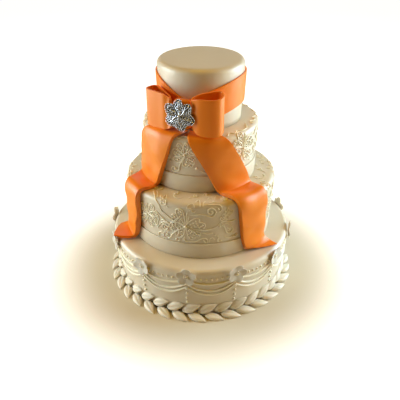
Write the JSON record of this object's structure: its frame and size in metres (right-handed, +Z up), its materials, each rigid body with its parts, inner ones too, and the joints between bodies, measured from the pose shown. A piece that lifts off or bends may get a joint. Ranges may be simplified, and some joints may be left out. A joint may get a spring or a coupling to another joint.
{
  "type": "tiered wedding cake",
  "caption": "Stacked round wedding cake in ivory fondant with piped lace, pearl swags, paste flowers, a leaf border and an orange sugar ribbon tied in a bow with a silver brooch.",
  "frame": {"origin": "centre of the bottom tier's underside, on the axis that all the tiers share", "axes": "+Z up along the axis of the tiers; the front, with the bow and the brooch, faces -Y"},
  "size_m": [0.3015, 0.3015, 0.344],
  "materials": {
    "fondant": "smooth ivory sugar paste, satin",
    "royal_icing": "piped and moulded ivory icing, matt",
    "ribbon_paste": "orange sugar paste, satin",
    "flower_paste": "pale grey-white petal paste, faint pearl sheen",
    "silver": "cast silver filigree with clear stones"
  },
  "bodies": {
    "root": {"tier_1": "fondant", "tier_2": "fondant", "tier_3": "fondant", "tier_4": "fondant", "band_2": "fondant", "band_3": "fondant", "leaf_border": "royal_icing", "ribbon_wrap": "ribbon_paste", "bow_loop_left": "ribbon_paste", "bow_loop_right": "ribbon_paste", "knot": "ribbon_paste", "tail_left": "ribbon_paste", "tail_right": "ribbon_paste", "brooch": "silver", "flower_01": "flower_paste", "flower_02": "flower_paste", "flower_03": "flower_paste", "flower_04": "flower_paste", "flower_05": "flower_paste", "flower_06": "flower_paste", "flower_07": "flower_paste", "flower_08": "flower_paste", "flower_09": "flower_paste", "flower_10": "flower_paste", "flower_11": "flower_paste", "flower_12": "flower_paste"}
  },
  "joints": []
}
